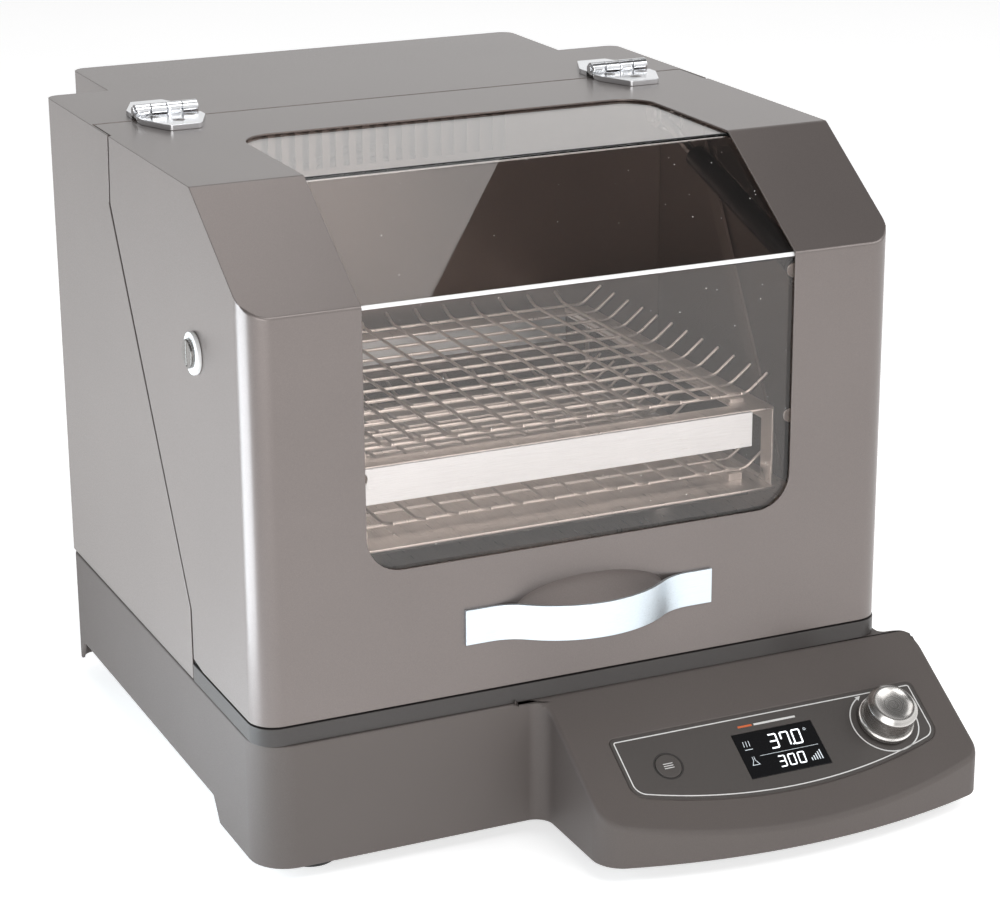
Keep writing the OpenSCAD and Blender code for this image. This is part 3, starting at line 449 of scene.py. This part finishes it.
def paint_fold_highlight(mesh):
    """Paint a highlight on the narrow faces of the window's fold: a whitish gloss that stands in for light caught
    in the bend.
    """
    mesh.materials.append(MATS["fold_painted_highlight"])
    for poly in mesh.polygons:
        tilt = math.degrees(math.atan2(poly.normal.z, -poly.normal.y))
        faces_front = poly.normal.y < 0 and abs(poly.normal.x) < 0.2
        if faces_front and FOLD_TILT_DEG[0] < tilt < FOLD_TILT_DEG[1] and poly.area < FOLD_AREA:
            poly.material_index = 1


def skin(node, width, segments=2, limit=28.0, sharp=40.0):
    """A piece that stands for a CAD node, with its faces joined up and its edges rounded by width mm."""
    bm = bmesh.new()
    bm.from_mesh(NODES[node].data)
    bmesh.ops.remove_doubles(bm, verts=bm.verts, dist=WELD)
    if node in SPLIT_AT:
        split(bm, SPLIT_AT[node])
    bmesh.ops.dissolve_limit(bm, angle_limit=math.radians(FLAT_DEG), verts=bm.verts, edges=bm.edges,
                             use_dissolve_boundaries=False, delimit={"SEAM"})
    bmesh.ops.recalc_face_normals(bm, faces=bm.faces)
    if node not in KEEP_FLATS:
        many_sided = [f for f in bm.faces if len(f.verts) > 4]
        bmesh.ops.triangulate(bm, faces=many_sided, ngon_method="BEAUTY")
    bevel = {"offset_type": "OFFSET", "profile": 0.5, "affect": "EDGES", "clamp_overlap": False,
             "loop_slide": False}
    if node in BENDS:
        pick, radius, steps = BENDS[node]
        joined = [e for e in bm.edges if len(e.link_faces) == 2]
        folds = [e for e in joined if pick(e, math.degrees(e.calc_face_angle(0)))]
        bmesh.ops.bevel(bm, geom=folds, offset=radius * MM, segments=steps, **bevel)
    if width:
        joined = [e for e in bm.edges if len(e.link_faces) == 2]
        edges = [e for e in joined if e.calc_face_angle(0) > math.radians(limit)
                 and not (node == "hood_shell" and by_finger_cup(e))]
        bmesh.ops.bevel(bm, geom=edges, offset=width * MM, segments=segments,
                        miter_outer="ARC", miter_inner="SHARP", **bevel)
    mesh = bpy.data.meshes.new(node + "_skin")
    bm.to_mesh(mesh)
    bm.free()
    obj = place(node + "_piece", mesh, SLOT_OF[node], BODY_OF[node], LOOKS.get(node))
    # the window's fold gets a painted highlight
    if node == "window_pane":
        paint_fold_highlight(mesh)
    finish_mesh(obj, sharp)
    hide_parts(node)
    return obj


# where a node is split, in x
SPLIT_AT = {"hood_shell": sum(v.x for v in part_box("finger_cup")) / 2, "base_shell": sum(FILM_X) / 2}
# nodes whose flat faces stay whole; the others are cut into triangles before their edges are rounded
KEEP_FLATS = ("hood_shell", "window_pane", "base_shell")
# edges with a wider rounding of their own: which ones, radius in mm and steps
BENDS = {"hood_shell": (bent, 1.5, 4), "window_pane": (bent, 1.6, 4), "base_shell": (console_rim, 3.0, 4),
         "hinge_hood_leaves": (leaf_corner, 2.6, 4)}
# width in mm of each node's edge rounding
SKINS = {
    "base_shell": 1.4, "hood_shell": 0.45, "cabinet_shell": 0.45, "rear_cover": 0.45,
    "chamber_plinth": 0.4, "handle": 0.35, "hinge_hood_leaves": 0.35, "hinge_cabinet_leaves": 0.35,
    "window_pane": 0.6, "strut_bushes": 0.8, "rack_rails": 0.3, "lower_shelf": 0.3, "upper_shelf": 0.3,
    "rack_sides": 0.3, "rubber_feet": 0.8, "pivot_screws": 0.5, "power_inlet": 0.4, "switch_rocker": 0.5,
    "membrane_panel": 0.15, "mode_button": 0.4, "base_pan": 0.5, "rear_air_wall": 0.3, "finger_cup": 0.0,
    "display_module": 0.15,
}
# nodes whose look isn't their slot's own
LOOKS = {"gap_seal": "seal_strip_painted_shade", "finger_cup": "cup_paint_painted_light", "pivot_screws": "screw_steel",
         "hinge_screws_hood": "screw_steel", "hinge_screws_cabinet": "screw_steel",
         "hood_fasteners": "nut_steel"}
# nodes that pieces further down replace
REBUILT = {"lower_tray", "upper_tray", "control_knob"}
for node_name, width_mm in SKINS.items():
    skin(node_name, width_mm)
for node_name, node_object in NODES.items():
    if node_name in SKINS or node_name in REBUILT:
        continue
    node_object.data.materials.clear()
    node_object.data.materials.append(MATS[LOOKS.get(node_name, SLOT_OF[node_name])])


def curve_piece(name, paths, radius_mm, slot, body):
    """Round wires, one along each path."""
    data = bpy.data.curves.new(name, "CURVE")
    data.dimensions = "3D"
    data.bevel_depth = radius_mm * MM
    data.bevel_resolution = 3
    data.use_fill_caps = True
    for path in paths:
        spline = data.splines.new("POLY")
        spline.points.add(len(path) - 1)
        for point, co in zip(spline.points, path):
            point.co = (*co, 1.0)
        spline.use_smooth = True
    return place(name, data, slot, body)


def rounded(points, radius, steps=6):
    """The polyline with its corners replaced by arcs."""
    out = [Vector(points[0])]
    for a, b, c in zip(points, points[1:], points[2:]):
        a, b, c = Vector(a), Vector(b), Vector(c)
        u, v = (a - b).normalized(), (c - b).normalized()
        angle = u.angle(v)
        if angle > math.radians(179):
            continue
        cut = radius / math.tan(angle / 2)
        centre = b + (u + v).normalized() * (radius / math.sin(angle / 2))
        start, end = (b + u * cut - centre).normalized(), (b + v * cut - centre).normalized()
        for i in range(steps + 1):
            out.append(centre + start.slerp(end, i / steps).normalized() * radius)
    out.append(Vector(points[-1]))
    return out


# trays, in mm: wire radius, spacing and number each way, and how far the front-to-back wires sit
# above the crosswise ones
WIRE_R = 1.2
PITCH = 22.9
WIRES = 12
DIP = 2.15
# front-to-back wires: shift of the row to the right, rise of the ends, length of the rising ends at the
# front and at the rear, and bend radius
ROW_SHIFT, END_RISE, FRONT_RUN, REAR_RUN, SOFT_BEND = 6.0, 5.0, 17.0, 12.0, 18.0
# crosswise wires: first one from the front, length of the upturned ends and bend radius
FIRST_ROW, UPTURN, TIGHT_BEND = 20.5, 15.0, 12.0


def tray(node, name):
    """Round bent wires along both axes, with balled ends, in the place of the CAD tray."""
    lo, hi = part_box(node)
    r = WIRE_R * MM
    x_mid = (lo.x + hi.x) / 2
    low, tip = lo.z + r, hi.z - r
    front, rear = lo.y + r, hi.y - r
    left, right = lo.x + r, hi.x - r
    plane = low + DIP * MM
    paths, ends = [], []
    for i in range(WIRES):
        x = x_mid + (ROW_SHIFT + (i - (WIRES - 1) / 2) * PITCH) * MM
        pts = [(x, front, plane + END_RISE * MM), (x, front + FRONT_RUN * MM, plane),
               (x, rear - REAR_RUN * MM, plane), (x, rear, plane + END_RISE * MM)]
        paths.append(rounded(pts, SOFT_BEND * MM))
        ends += [pts[0], pts[-1]]
    for i in range(WIRES):
        y = lo.y + (FIRST_ROW + i * PITCH) * MM
        pts = [(left, y, tip), (left + UPTURN * MM, y, low), (right - UPTURN * MM, y, low), (right, y, tip)]
        paths.append(rounded(pts, TIGHT_BEND * MM))
        ends += [pts[0], pts[-1]]
    obj = curve_piece(name, paths, WIRE_R, SLOT_OF[node], BODY_OF[node])
    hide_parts(node)
    bm = bmesh.new()
    for end in ends:
        bmesh.ops.create_icosphere(bm, subdivisions=2, radius=r * 1.02, matrix=Matrix.Translation(end))
    mesh = bpy.data.meshes.new(name + "_ends")
    bm.to_mesh(mesh)
    bm.free()
    balls = place(name + "_ends", mesh, SLOT_OF[node], BODY_OF[node])
    finish_mesh(balls, 60)


tray("lower_tray", "lower_tray_wires")
tray("upper_tray", "upper_tray_wires")


# ---------------------------------------------------------------- console slope

def on_slope(x, s, h=0.0):
    """Point at x across and s up the slope, h above the panel film; all in metres."""
    return ACROSS * x + UP_SLOPE * s + NORMAL * (FILM_TOP + h)


def flat_piece(name, outlines, height_mm, thick_mm, slot, body, material):
    """Thin prints: each outline is a closed loop of (x, s) in metres, or a pair of loops for a band."""
    bm = bmesh.new()
    for outline in outlines:
        if isinstance(outline, dict):
            outer, inner = outline["outer"], outline["inner"]
            top_o = [bm.verts.new(on_slope(x, s, height_mm * MM)) for x, s in outer]
            top_i = [bm.verts.new(on_slope(x, s, height_mm * MM)) for x, s in inner]
            n = len(outer)
            last = n if outline.get("closed", True) else n - 1
            for i in range(last):
                j = (i + 1) % n
                bm.faces.new((top_o[i], top_o[j], top_i[j], top_i[i]))
        else:
            bm.faces.new([bm.verts.new(on_slope(x, s, height_mm * MM)) for x, s in outline])
    bmesh.ops.recalc_face_normals(bm, faces=bm.faces)
    for face in bm.faces:
        if face.normal.dot(NORMAL) < 0:
            face.normal_flip()
    extruded = bmesh.ops.extrude_face_region(bm, geom=list(bm.faces))
    moved = [v for v in extruded["geom"] if isinstance(v, bmesh.types.BMVert)]
    bmesh.ops.translate(bm, verts=moved, vec=NORMAL * (thick_mm * MM))
    bmesh.ops.recalc_face_normals(bm, faces=bm.faces)
    mesh = bpy.data.meshes.new(name)
    bm.to_mesh(mesh)
    bm.free()
    return place(name, mesh, slot, body, material)


def ring(cx, cs, r_out, r_in, a0=0.0, a1=360.0, steps=72):
    """Band round (cx, cs) between two radii in mm, whole or from a0 to a1 degrees."""
    closed = a1 - a0 >= 360.0
    count = steps if closed else steps + 1
    angles = [math.radians(a0 + (a1 - a0) * i / steps) for i in range(count)]
    return {"outer": [(cx + r_out * MM * math.cos(a), cs + r_out * MM * math.sin(a)) for a in angles],
            "inner": [(cx + r_in * MM * math.cos(a), cs + r_in * MM * math.sin(a)) for a in angles],
            "closed": closed}


def bar(x0, s0, x1, s1, width):
    """A straight stroke with square ends."""
    d = Vector((x1 - x0, s1 - s0)).normalized() * (width / 2)
    side = Vector((-d.y, d.x))
    return [(x0 - d.x + side.x, s0 - d.y + side.y), (x0 - d.x - side.x, s0 - d.y - side.y),
            (x1 + d.x - side.x, s1 + d.y - side.y), (x1 + d.x + side.x, s1 + d.y + side.y)]


def arc2(cx, cy, r, a0, a1, n):
    """Points of an arc from a0 to a1 degrees, in n steps."""
    return [(cx + r * math.cos(math.radians(a0 + (a1 - a0) * i / n)),
             cy + r * math.sin(math.radians(a0 + (a1 - a0) * i / n))) for i in range(n + 1)]


def panel_loop(inset):
    """The film's own outline moved in by inset mm."""
    i = inset * MM
    (x0, x1), (s0, s1) = FILM_X, FILM_S
    r_bow, r_foot, r_top = 367 * MM, 12 * MM, 4 * MM
    top_inset = min(i, 3.5 * MM)
    bow = ((x0 + x1) / 2, s0 + r_bow)

    def corner(x):
        return (x, bow[1] - math.sqrt((r_bow - r_foot) ** 2 - (x - bow[0]) ** 2))

    c1, c2 = corner(x0 + r_foot), corner(x1 - r_foot)
    a1 = math.degrees(math.atan2(c1[1] - bow[1], c1[0] - bow[0])) + 360
    a2 = math.degrees(math.atan2(c2[1] - bow[1], c2[0] - bow[0])) + 360
    return (arc2(x1 - r_top, s1 - r_top, r_top - top_inset, 0, 90, 5)
            + arc2(x0 + r_top, s1 - r_top, r_top - top_inset, 90, 180, 5)
            + arc2(*c1, r_foot - i, 180, a1, 10) + arc2(*bow, r_bow - i, a1, a2, 36)
            + arc2(*c2, r_foot - i, a2, 360, 10))


# thickness of ink in mm
INK = 0.06


def panel_print(name, outlines, material, thick_mm=INK):
    """A print on the panel film."""
    return flat_piece(name, outlines, 0.0, thick_mm, "membrane", BODY_OF["membrane_panel"], material)


panel_print("panel_border", [{"outer": panel_loop(2.2), "inner": panel_loop(3.0)}], "print_white")

# mode key: dark groove ring and a plain symbol of three bars
key_lo, key_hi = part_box("mode_button")
key_x = (key_lo.x + key_hi.x) / 2
key_s = sum(reach("mode_button", UP_SLOPE)) / 2
key_r = (key_hi.x - key_lo.x) / 2 / MM
key_top = (reach("mode_button", NORMAL)[1] - FILM_TOP) / MM
panel_print("key_ring", [ring(key_x, key_s, key_r + 1.4, key_r + 0.75)], "print_dark", 0.07)
mark_x, mark_gap, mark_w = 3.2 * MM, 1.7 * MM, 0.55 * MM
key_marks = [bar(key_x - mark_x, key_s + k * mark_gap, key_x + mark_x, key_s + k * mark_gap, mark_w)
             for k in (-1, 0, 1)]
flat_piece("key_symbol", key_marks, key_top, 0.05, "membrane", "mode_key", "print_white")

# knob legend: an open ring that ends in an arrow head
knob_x = KNOB_AT.x
knob_s = KNOB_AT.dot(UP_SLOPE)
LEGEND_OUT, LEGEND_IN = 24.6, 23.7
LEGEND_FROM, LEGEND_TO = 118.0, 418.0
tip_a = math.radians(LEGEND_FROM)
tip_r = 24.1 * MM
tip = Vector((knob_x + tip_r * math.cos(tip_a), knob_s + tip_r * math.sin(tip_a)))
along = Vector((math.sin(tip_a), -math.cos(tip_a))) * (4 * MM)
across = Vector((math.cos(tip_a), math.sin(tip_a))) * (1.8 * MM)
legend = [ring(knob_x, knob_s, LEGEND_OUT, LEGEND_IN, LEGEND_FROM, LEGEND_TO, 80),
          [tuple(tip + along), tuple(tip + across), tuple(tip - across)]]
panel_print("knob_legend", legend, "print_white")

# maker's place above the display: a plain two-colour stripe
top_face = reach("display_module", NORMAL)[1]
front = [v.co for v in NODES["display_module"].data.vertices if top_face - v.co.dot(NORMAL) < 1e-5]
dx0, dx1 = min(v.x for v in front), max(v.x for v in front)
ds0, ds1 = min(v.dot(UP_SLOPE) for v in front), max(v.dot(UP_SLOPE) for v in front)
disp_h = (top_face - FILM_TOP) / MM
STRIPE_W = 1.5 * MM
stripe_s = ds1 + 5.2 * MM
for colour, x0, x1 in (("orange", 8, 17), ("white", 20, 50)):
    stroke = bar(dx0 + x0 * MM, stripe_s, dx0 + x1 * MM, stripe_s, STRIPE_W)
    panel_print("stripe_" + colour, [stroke], "print_" + colour)

# display: seven-segment figures, divider and small plain symbols
SEGMENTS = {"0": "abcdef", "3": "abcdg", "7": "abcf"}
# each segment's two ends, in widths and half heights
LINES = {"a": (0, 2, 1, 2), "b": (1, 2, 1, 1), "c": (1, 1, 1, 0), "d": (0, 0, 1, 0),
         "e": (0, 0, 0, 1), "f": (0, 1, 0, 2), "g": (0, 1, 1, 1)}


def figures(text, x, s, width, height, stroke, gap):
    """Slanted seven-segment figures; a full stop becomes a dot."""
    lean = 0.10
    out = []
    for ch in text:
        if ch == ".":
            dot_x, dot_s = x - gap * 0.35, s + stroke * 0.2
            out.append(bar(dot_x, dot_s, dot_x + 1e-5, dot_s, stroke))
            continue
        for seg in SEGMENTS[ch]:
            x0, y0, x1, y1 = LINES[seg]
            a = Vector((x + x0 * width, s + y0 * height / 2))
            b = Vector((x + x1 * width, s + y1 * height / 2))
            d = (b - a).normalized() * stroke * 0.65
            a, b = a + d, b - d
            out.append(bar(a.x + (a.y - s) * lean, a.y, b.x + (b.y - s) * lean, b.y, stroke))
        x += width + gap
    return out


def disp(u, v):
    """Point of the display face: u and v from 0 to 1."""
    return dx0 + (dx1 - dx0) * u, ds0 + (ds1 - ds0) * v


def display_print(name, outlines, material):
    flat_piece(name, outlines, disp_h, 0.05, "display_black", BODY_OF["display_module"], material)


# two rows of figures
upper = figures("37.0", *disp(0.40, 0.56), 5.6 * MM, 10.6 * MM, 1.05 * MM, 3.3 * MM)
lower = figures("300", *disp(0.40, 0.13), 4.5 * MM, 8.2 * MM, 0.85 * MM, 2.8 * MM)
display_print("display_figures", upper + lower, "segments")

# line between the rows
row_x, row_s = disp(0.22, 0.455)
dim = [bar(row_x, row_s, disp(0.95, 0.455)[0], row_s, 0.22 * MM)]
# five rising bars beside the lower figures
for k in range(5):
    x, s = disp(0.80 + 0.032 * k, 0.14)
    dim.append(bar(x, s, x, s + (1.6 + 1.25 * k) * MM, 0.7 * MM))
# degree ring beside the upper figures
dim.append(ring(*disp(0.88, 0.84), 1.0, 0.65, steps=20))
# heat symbol: three strokes on a line
for k in range(3):
    x, s = disp(0.085 + 0.035 * k, 0.70)
    dim.append(bar(x, s, x + 0.4 * MM, s + 4.0 * MM, 0.35 * MM))
x, s = disp(0.08, 0.63)
dim.append(bar(x, s, x + 5.4 * MM, s, 0.4 * MM))
# flask symbol: one stroke from each corner to the next, in mm
FLASK = [(0.9, 6.2), (0.9, 3.6), (-1.0, 0), (4.2, 0), (2.3, 3.6), (2.3, 6.2)]
x, s = disp(0.10, 0.28)
for a, b in zip(FLASK, FLASK[1:]):
    dim.append(bar(x + a[0] * MM, s + a[1] * MM, x + b[0] * MM, s + b[1] * MM, 0.35 * MM))
display_print("display_symbols", dim, "segments_dim")


# ---------------------------------------------------------------- knob

def turned(name, profile, axis_point, slot, body, steps=128):
    """A lathe piece round the slope's normal; profile is (radius, height) in mm from the panel film."""
    bm = bmesh.new()
    base = axis_point - NORMAL * (axis_point.dot(NORMAL) - FILM_TOP)
    rings = []
    angles = [2 * math.pi * i / steps for i in range(steps)]
    for r, h in profile:
        centre = base + NORMAL * (h * MM)
        if r == 0:
            rings.append([bm.verts.new(centre)])
            continue
        rings.append([bm.verts.new(centre + (ACROSS * math.cos(a) + UP_SLOPE * math.sin(a)) * (r * MM))
                      for a in angles])
    for p, q in zip(rings, rings[1:]):
        for i in range(steps):
            j = (i + 1) % steps
            loop = [p[i % len(p)], p[j % len(p)], q[j % len(q)], q[i % len(q)]]
            bm.faces.new(list(dict.fromkeys(loop)))
    bmesh.ops.recalc_face_normals(bm, faces=bm.faces)
    mesh = bpy.data.meshes.new(name)
    bm.to_mesh(mesh)
    bm.free()
    obj = place(name, mesh, slot, body)
    finish_mesh(obj, 24)
    return obj


# skirt, groove, waist, rounded shoulder and dished face, as radius and height in mm
kr = (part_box("control_knob")[1].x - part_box("control_knob")[0].x) / 2 / MM
k_low, k_high = ((v - FILM_TOP) / MM for v in reach("control_knob", NORMAL))
knob_profile = [(3.0, k_low + 4), (3.0, k_low), (kr - 0.5, k_low), (kr, k_low + 0.5), (kr, k_low + 3.0),
                (kr - 0.25, k_low + 3.3), (kr - 0.9, k_low + 3.5), (kr - 1.2, k_low + 3.9),
                (kr - 2.3, k_high - 4.3), (kr - 2.0, k_high - 3.9), (kr - 2.0, k_high - 3.2),
                (kr - 2.5, k_high - 2.4), (kr - 5.0, k_high - 0.25), (kr - 5.4, k_high), (kr - 6.2, k_high),
                (kr - 6.8, k_high - 0.5), (kr - 9.5, k_high - 1.3), (kr - 13.0, k_high - 1.7),
                (0, k_high - 1.9)]
knob = turned("knob_turned", knob_profile, KNOB_AT, "knob_aluminium", "knob")
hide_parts("control_knob")


# ---------------------------------------------------------------- stage, light and camera

FLOOR_HALF = 30.0
AIM = (CAD_BOX[0] + CAD_BOX[1]) / 2


def pale_floor():
    look = Nodes("pale_floor")
    tone = look.ramp(look.noise(3.0), [(0.3, (0.86,) * 3), (0.7, (0.88,) * 3)])
    look.set(Base_Color=tone, Roughness=0.9, Specular_IOR_Level=0.1, Emission_Color=(1.0, 1.0, 1.0),
             Emission_Strength=0.62)
    mesh = bpy.data.meshes.new("floor")
    corners = [(x * FLOOR_HALF, y * FLOOR_HALF, 0) for x, y in ((-1, -1), (1, -1), (1, 1), (-1, 1))]
    mesh.from_pydata(corners, [], [(0, 1, 2, 3)])
    mesh.materials.append(look.mat)
    floor = bpy.data.objects.new("floor", mesh)
    bpy.context.scene.collection.objects.link(floor)


def lamp(name, centre, toward, size, power, colour=(1, 1, 1), spin=0.0):
    """Rectangular softbox at centre facing toward, turned spin degrees about its own axis."""
    data = bpy.data.lights.new(name, "AREA")
    data.shape, data.size, data.size_y = "RECTANGLE", *size
    data.energy, data.color = power, colour
    obj = bpy.data.objects.new(name, data)
    bpy.context.scene.collection.objects.link(obj)
    obj.location = centre
    facing = (Vector(toward) - Vector(centre)).to_track_quat("-Z", "Y")
    obj.rotation_mode = "QUATERNION"
    obj.rotation_quaternion = facing @ Matrix.Rotation(math.radians(spin), 3, "Z").to_quaternion()
    obj.visible_camera = False


def around(azimuth, elevation, distance):
    """Point at a distance from the middle of the object; azimuth 0 is straight in front."""
    a, e = math.radians(azimuth), math.radians(elevation)
    return AIM + Vector((math.sin(a) * math.cos(e), -math.cos(a) * math.cos(e), math.sin(e))) * distance


def studio_sky():
    """White near the floor, darker overhead and on the left."""
    world = bpy.data.worlds.new("studio")
    bpy.context.scene.world = world
    world.use_nodes = True
    nodes, links = world.node_tree.nodes, world.node_tree.links
    sky = nodes.new("ShaderNodeTexCoord")
    ways = nodes.new("ShaderNodeSeparateXYZ")
    links.new(sky.outputs["Generated"], ways.inputs[0])
    fade = nodes.new("ShaderNodeValToRGB")
    links.new(ways.outputs["Z"], fade.inputs["Fac"])
    stops = [(0.0, 1.0), (0.45, 0.9), (0.75, 0.15), (1.0, 0.08)]
    while len(fade.color_ramp.elements) < len(stops):
        fade.color_ramp.elements.new(0.5)
    for element, (position, level) in zip(fade.color_ramp.elements, stops):
        element.position = position
        element.color = (level, level, level, 1.0)
    flank = nodes.new("ShaderNodeMapRange")
    for key, value in {"From Min": -1.0, "From Max": 0.4, "To Min": 0.30, "To Max": 1.0}.items():
        flank.inputs[key].default_value = value
    links.new(ways.outputs["X"], flank.inputs["Value"])
    level = nodes.new("ShaderNodeVectorMath")
    level.operation = "SCALE"
    links.new(fade.outputs["Color"], level.inputs[0])
    links.new(flank.outputs["Result"], level.inputs["Scale"])
    background = nodes["Background"]
    links.new(level.outputs["Vector"], background.inputs["Color"])
    background.inputs["Strength"].default_value = 0.97


LENS, SENSOR = 102.07, 36.0
CAM_AZ, CAM_EL, CAM_ROLL = -24.482, 18.464, -0.368
CAM_AT = Vector((-0.7748, -1.7469, 0.8381))
CLIP = (0.05, 100)


def set_camera():
    data = bpy.data.cameras.new("camera")
    data.lens, data.sensor_width = LENS, SENSOR
    data.clip_start, data.clip_end = CLIP
    camera = bpy.data.objects.new("camera", data)
    bpy.context.scene.collection.objects.link(camera)
    a, e, roll = (math.radians(v) for v in (CAM_AZ, CAM_EL, CAM_ROLL))
    back = Vector((math.sin(a) * math.cos(e), -math.cos(a) * math.cos(e), math.sin(e)))
    level_right = Vector((math.cos(a), math.sin(a), 0))
    level_up = back.cross(level_right)
    right = level_right * math.cos(roll) + level_up * math.sin(roll)
    up = -level_right * math.sin(roll) + level_up * math.cos(roll)
    columns = Matrix((right, up, back)).transposed().to_4x4()
    camera.matrix_world = Matrix.Translation(CAM_AT) @ columns
    bpy.context.scene.camera = camera
    bpy.context.scene.view_settings.view_transform = "Standard"


pale_floor()
lamp("ceiling_softbox", (0.146, 0.574, 2.4), (0.146, 0.574, 0.0), (1.6, 1.8), 16, spin=-36.4)
lamp("front_softbox", around(-22, 12, 2.6), AIM, (1.8, 1.4), 21)
lamp("right_softbox", around(52, 36, 2.4), AIM, (1.1, 1.0), 9)
lamp("high_softbox", around(12, 50, 2.4), AIM, (0.9, 0.8), 9)
lamp("left_panel", (-0.60, -0.08, 0.17), (-0.24, -0.20, 0.20), (0.38, 0.33), 2.5, (0.80, 0.92, 1.0))
studio_sky()
set_camera()
